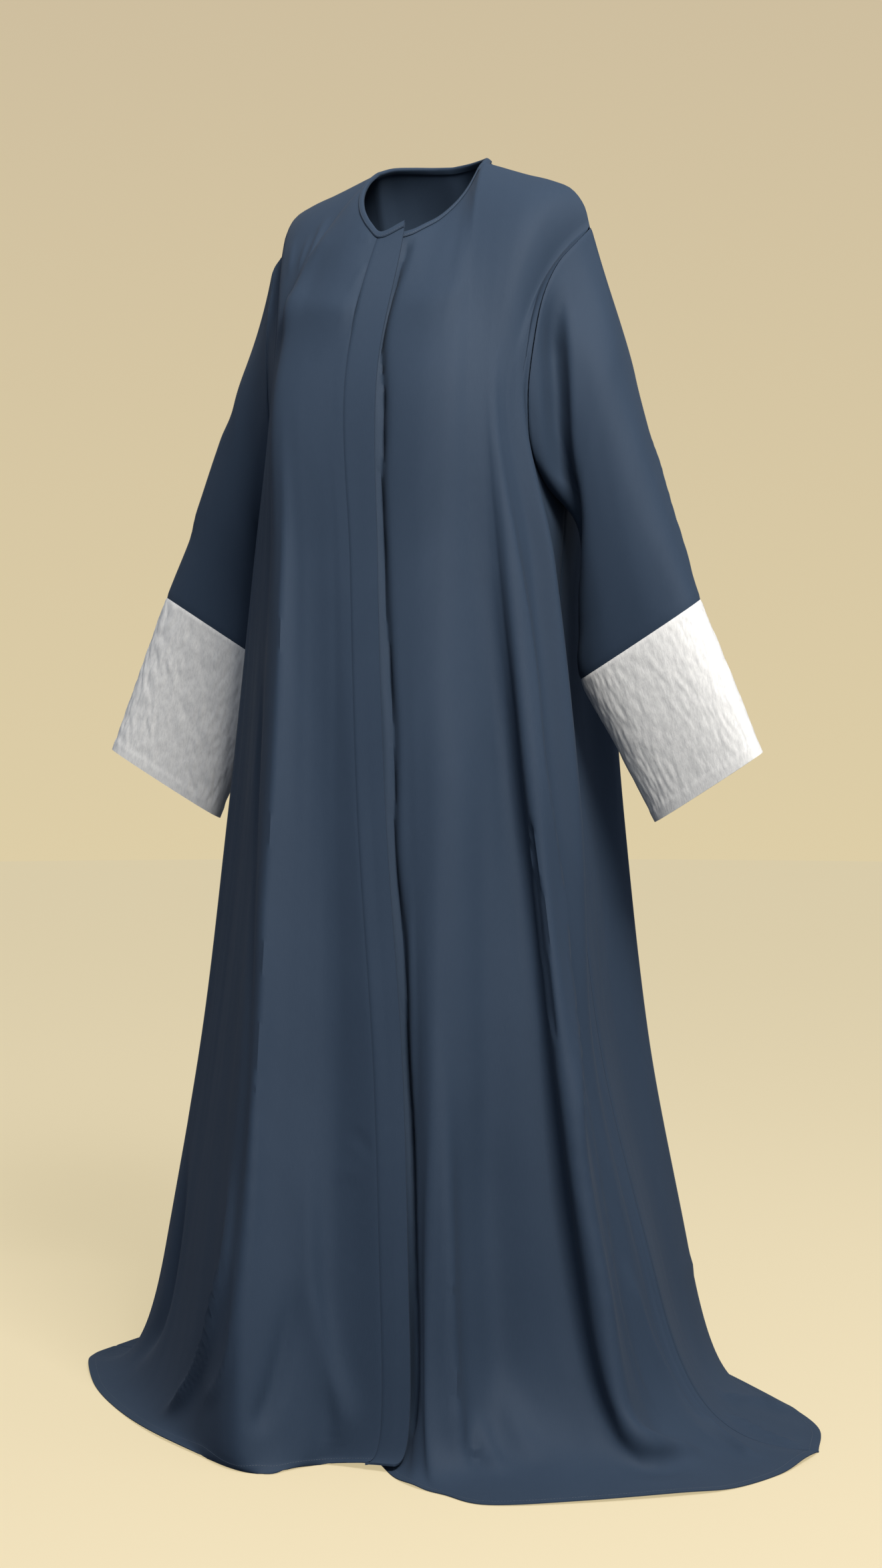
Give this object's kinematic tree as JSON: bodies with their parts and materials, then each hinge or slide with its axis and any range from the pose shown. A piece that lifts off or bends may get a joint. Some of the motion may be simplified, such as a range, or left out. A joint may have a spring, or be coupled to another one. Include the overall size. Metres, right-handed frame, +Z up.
{
  "type": "abaya cloak",
  "caption": "Long loose open-front abaya that laps at a placket, with wide sleeves, pale contrast cuffs, a bound round neck and a hem that pools on the floor.",
  "frame": {"origin": "on the wearer's shoulder line, midway between the shoulders, where the garment is held up; the hem lies on the floor 1.44 m below", "axes": "+X to the wearer's left, -Y to the front where it opens, +Z up"},
  "size_m": [0.9534, 0.7232, 1.4731],
  "materials": {
    "crepe": "matte crepe weave",
    "cuff_jacquard": "crinkled jacquard with a soft sheen"
  },
  "bodies": {
    "root": {"front_left": "crepe", "front_right": "crepe", "front_placket": "crepe", "back": "crepe", "sleeve_left": "crepe", "sleeve_right": "crepe", "neck_binding": "crepe", "cuff_left": "cuff_jacquard", "cuff_right": "cuff_jacquard"}
  },
  "joints": []
}
